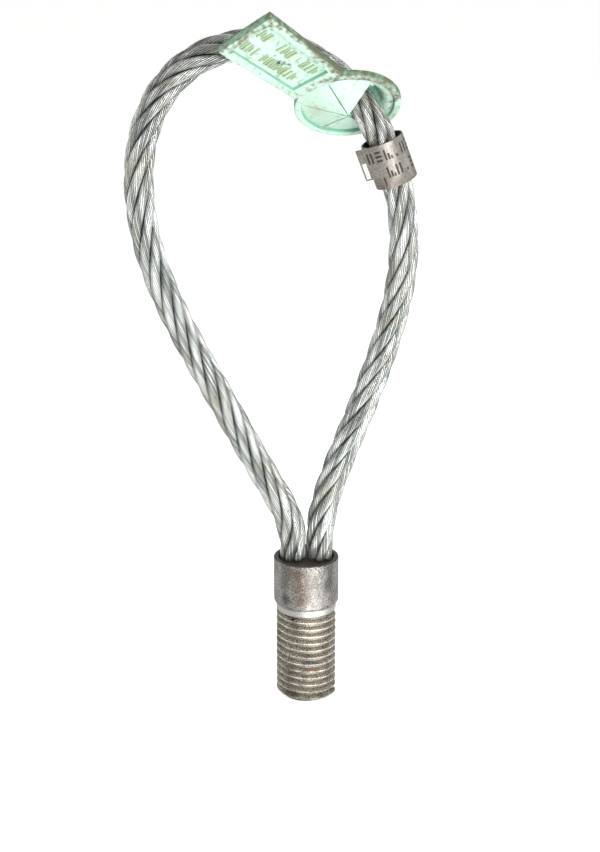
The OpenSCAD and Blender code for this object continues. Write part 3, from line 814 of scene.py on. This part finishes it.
def add_petal(bm, number, bend=0, lap=0, tip=0.45):
    """One petal of the web, which is whole near the rim. bend is how far it is turned back from
    its place, and lap how far it spreads behind the closed one beside it, in degrees. tip is
    where it ends, in millimetres from the middle."""
    middle = FIRST_SLIT + SECTOR * (number + 0.5)
    reach, whole = EYE_R - RIM_W + 0.4, 0.14
    rows, columns = 12, 8
    grids = []
    for side in (1, -1):
        grid = []
        for i in range(rows + 1):
            inner = tip + (reach - tip) * i / rows
            back = (reach - inner) / reach
            slit = max(0, back - whole)
            spread = SECTOR / 2 - (math.degrees(SLIT_W / 2 / inner) if slit else 0)
            row = []
            for k in range(columns + 1):
                across = 2 * k / columns - 1
                wider = min(1, back / 0.15) * (abs(lap) if across * lap > 0 else 4 if bend else 0)
                angle = math.radians(middle + (spread + wider) * across)
                if bend:
                    curl = math.radians(bend) * min(1, slit / 0.3)
                    r = reach - (reach - inner) * (math.cos(curl) * 0.9 + 0.1)
                    z = PETAL_FOOT - (reach - inner) * math.sin(curl)
                    normal = curl
                else:
                    r, z, normal = inner, PETAL_FOOT + (PETAL_RISE - PETAL_FOOT) * back, 0
                r += side * PETAL_T / 2 * math.sin(normal)
                z += side * PETAL_T / 2 * math.cos(normal)
                row.append(bm.verts.new(mm(r * math.cos(angle), r * math.sin(angle), z)))
            grid.append(row)
        grids.append(grid)
    top, bottom = grids
    for i in range(rows):
        for k in range(columns):
            bm.faces.new([top[i][k], top[i + 1][k], top[i + 1][k + 1], top[i][k + 1]])
            bm.faces.new([bottom[i][k], bottom[i][k + 1], bottom[i + 1][k + 1], bottom[i + 1][k]])
    edge = ([(0, k) for k in range(columns)] + [(i, columns) for i in range(rows)]
            + [(rows, k) for k in range(columns, 0, -1)] + [(i, 0) for i in range(rows, 0, -1)])
    for (i, k), (i2, k2) in zip(edge, edge[1:] + edge[:1]):
        bm.faces.new([top[i][k], top[i2][k2], bottom[i2][k2], bottom[i][k]])


def plate_share(x):
    """How far along the plate a place is, 0 at the eye and 1 at the far end."""
    return min(1, max(0, (x - EYE_R) / (PLATE_REACH - EYE_R)))


def wear_plate(mesh):
    """Leaves the plate as use has: twisted along its length, and its far end drawn in."""
    for vertex in mesh.vertices:
        share = plate_share(vertex.co.x / MM)
        dirty_side = max(0, -vertex.co.y / MM) / (PLATE_W / 2)
        vertex.co.x -= share * (PLATE_SHRUNK[0] + PLATE_SHRUNK[1] * dirty_side) * MM
        vertex.co = Matrix.Rotation(math.radians(PLATE_TWIST) * share, 3, "X") @ vertex.co


def store(mesh, name, value_at):
    """Keeps a number for each point of the mesh, worked out from its place in millimetres."""
    attribute = mesh.attributes.new(name, "FLOAT", "POINT")
    attribute.data.foreach_set("value", [value_at(v.co / MM) for v in mesh.vertices])


def tag_grime(co):
    """Dirt gathers on the plate's far end and one long edge, and on the eye's rim beside it."""
    radius = math.hypot(co.x, co.y)
    if radius < EYE_R + 0.5:
        on_rim = radius > EYE_R - RIM_W - 0.2
        return 0.74 if on_rim and co.y < -3 and co.x > -8 else 0.38
    in_panel = abs(co.y) < PANEL_W / 2 - 0.1 and co.x < PLATE_REACH - FRAME_W - 0.1
    if in_panel:
        return 0.1
    on_dirty_edge = co.y < -PLATE_W / 2 + 1
    if on_dirty_edge:
        return 0.86 if co.x < 32 else 0.74
    return 0.68 if co.x > PLATE_REACH - FRAME_W else 0.44


def tag_mark(co):
    """The raised marks in the sunk panel."""
    return (1.0 if co.z > PLATE_T / 2 - PANEL_DEPTH + 0.15 and abs(co.y) < PANEL_W / 2 - 0.4
            and co.x > EYE_R + 2 and co.x < PLATE_REACH - FRAME_W - 0.4 else 0.0)


def tag_hollow_shade(co):
    """The bent petals, where a deeper green is painted as shade."""
    inside = math.hypot(co.x, co.y) < EYE_R - RIM_W + 0.15
    return min(1, max(0, (-co.z - 1) / 4)) if inside else 0.0


def add_marks(bm):
    """Two rows of plain raised bars and blocks, where such a tag carries its data."""
    rows = {-3.0: (2, 3, 0, 0, 1, 2, 3, 0, 0, 3, 1, 2), 3.2: (3, 2, 1, 0, 2, 3, 3, 2, 3, 1, 2, 0)}
    foot = PLATE_T / 2 - PANEL_DEPTH - 0.1
    pitch = (PANEL_L - 3) / 12
    for y, kinds in rows.items():
        for k, kind in enumerate(kinds):
            x = PLATE_REACH - FRAME_W - 1.5 - pitch * (k + 0.5)
            for shift, wide, tall in ((), ((0, 0.7, 3.6),), ((0.45, 0.6, 3.6), (-0.5, 0.6, 2.0)),
                                      ((0.5, 0.6, 3.6), (-0.5, 0.6, 3.6)))[kind]:
                size = mm(wide, tall, 0.55)
                place = Matrix.Translation(mm(x + shift, y, foot + 0.275))
                bmesh.ops.create_cube(bm, size=1, matrix=place @ Matrix.Diagonal((*size, 1)))


def add_tag(plastic):
    bm = bmesh.new()
    add_plate(bm)
    add_marks(bm)
    half, inner = RIM_H / 2, EYE_R - RIM_W
    rim = filleted([(inner, -half, 0.3), (EYE_R, -half, 0.5), (EYE_R, half, 0.7),
                    (inner, half, 0.5)])
    turn(bm, rim, closed=True)
    for number in range(CLOSED_PETALS):
        add_petal(bm, number)
    for number, lap, tip in BENT_PETALS:
        add_petal(bm, number, PETAL_BEND, lap, tip)
    bmesh.ops.recalc_face_normals(bm, faces=bm.faces)
    piece = piece_from("id_tag_moulding", bm, plastic)
    soft = piece.modifiers.new("soft edges", "BEVEL")
    soft.width, soft.segments, soft.limit_method = 0.22 * MM, 2, "ANGLE"
    soft.angle_limit = math.radians(50)
    flattened(piece)
    for name, value_at in (("darkening", tag_grime), ("mark", tag_mark), ("hollow_shade", tag_hollow_shade)):
        store(piece.data, name, value_at)
    wear_plate(piece.data)
    piece.data.transform(tag_place())
    settle(piece, "tag", "tag_plastic", "id_tag", sharp=40)


# ---- band ----

def band_place():
    return (Matrix.Translation(mm(*BAND_AT))
            @ Matrix.Rotation(math.radians(BAND_LEAN_SIDE), 4, "Y")
            @ Matrix.Rotation(math.radians(BAND_LEAN_FRONT), 4, "X"))


def flange_run():
    """Length of the straight end, so that its edge lies FLANGE_OUT past the band's side."""
    turned = math.radians(FLANGE_TURN)
    return (BAND_D / 2 * (1 + math.cos(turned)) + FLANGE_OUT) / math.sin(turned - math.pi)


def rolled(along, height, above=0.0):
    """Where a point of the flat strip lies once it is rolled: along it, up it, above its face."""
    run, radius = flange_run(), BAND_D / 2
    start = math.radians(FLANGE_TURN)
    if along < run:
        angle, behind = start, along - run
    else:
        angle, behind = start + (along - run) / radius, 0
    r = radius + above
    return mm(r * math.cos(angle) - behind * math.sin(angle),
              r * math.sin(angle) + behind * math.cos(angle), height)


def add_band(sheet, ink):
    run = flange_run()
    round_length = math.radians(356) * BAND_D / 2
    steps = 96
    stops = [0, SLOT_EDGE, SLOT_EDGE + SLOT_W, run] + [
        run + round_length * (k + 1) / steps for k in range(steps)]
    low = BAND_H / 2 - FLANGE_H
    levels = [-BAND_H / 2, low, low + SLOT_FOOT, low + SLOT_FOOT + SLOT_H, BAND_H / 2]
    bm = bmesh.new()
    grid = {}

    def corner(i, j):
        if (i, j) not in grid:
            grid[i, j] = bm.verts.new(rolled(stops[i], levels[j], -BAND_T / 2))
        return grid[i, j]

    for i in range(len(stops) - 1):
        for j in range(len(levels) - 1):
            on_flange = i < 3
            if (on_flange and j == 0) or (i == 1 and j == 2):
                continue
            bm.faces.new([corner(i, j), corner(i + 1, j), corner(i + 1, j + 1), corner(i, j + 1)])
    piece = piece_from("id_band_sheet", bm, sheet)
    wall = piece.modifiers.new("wall", "SOLIDIFY")
    wall.thickness, wall.offset = BAND_T * MM, 0
    edge = piece.modifiers.new("edge", "BEVEL")
    edge.width, edge.segments, edge.limit_method = 0.08 * MM, 2, "ANGLE"
    edge.angle_limit = math.radians(60)
    flattened(piece)
    store(piece.data, "foot", lambda co: min(1, max(0, (-3 - co.z) / 4)))
    # The band's inner face, painted near black as shade
    store(piece.data, "inside", lambda co: float(math.hypot(co.x, co.y) < BAND_D / 2 - 0.45))
    piece.data.transform(band_place())
    settle(piece, "band", "band_steel", "id_band", sharp=40)

    bm = bmesh.new()
    strokes = {"bars": ((0, 0, 0.65, 3.4), (1.3, 0, 0.65, 3.4)),
               "steps": ((0, 0, 0.65, 3.4), (1, 0, 0.65, 2), (1.9, 0, 0.5, 1)),
               "blocks": ((0, 0, 2, 0.7), (0, 1.35, 2, 0.7), (0, 2.7, 2, 0.7)),
               "dot": ((0.6, 0, 0.75, 0.75),)}
    rows = ((1.9, 3.0, ("bars", "blocks", "steps", "dot", "bars", "blocks")),
            (-3.6, 8.0, ("steps", "bars", "dot", "blocks")))
    pitch = 2.9
    for foot, first, kinds in rows:
        for k, kind in enumerate(kinds):
            for shift, up, wide, tall in strokes[kind]:
                add_stroke(bm, first + pitch * k + shift, foot + up, wide, tall)
    bmesh.ops.transform(bm, matrix=band_place(), verts=bm.verts)
    bmesh.ops.recalc_face_normals(bm, faces=bm.faces)
    settle(piece_from("id_band_marks", bm, ink), "band", "band_steel")


def add_stroke(bm, along, height, wide, tall):
    """A struck mark on the band's face: a thin bar that follows the roll."""
    steps = 3
    sunk, face = -0.1, 0.03
    rings = []
    for k in range(steps + 1):
        here = along + wide * k / steps
        rings.append([bm.verts.new(rolled(here, z, above)) for z, above in (
            (height, sunk), (height + tall, sunk), (height + tall, face), (height, face))])
    for this, after in zip(rings, rings[1:]):
        for k in range(4):
            n = (k + 1) % 4
            bm.faces.new([this[k], this[n], after[n], after[k]])
    bm.faces.new(rings[0][::-1])
    bm.faces.new(rings[-1])


add_camera()
add_studio()
add_rope(zinc_wire(), greased_wire())
add_ferrule(ferrule_steel(), pressed_wire())
add_tag(mint_plastic())
add_band(rolled_sheet(), mark_ink())
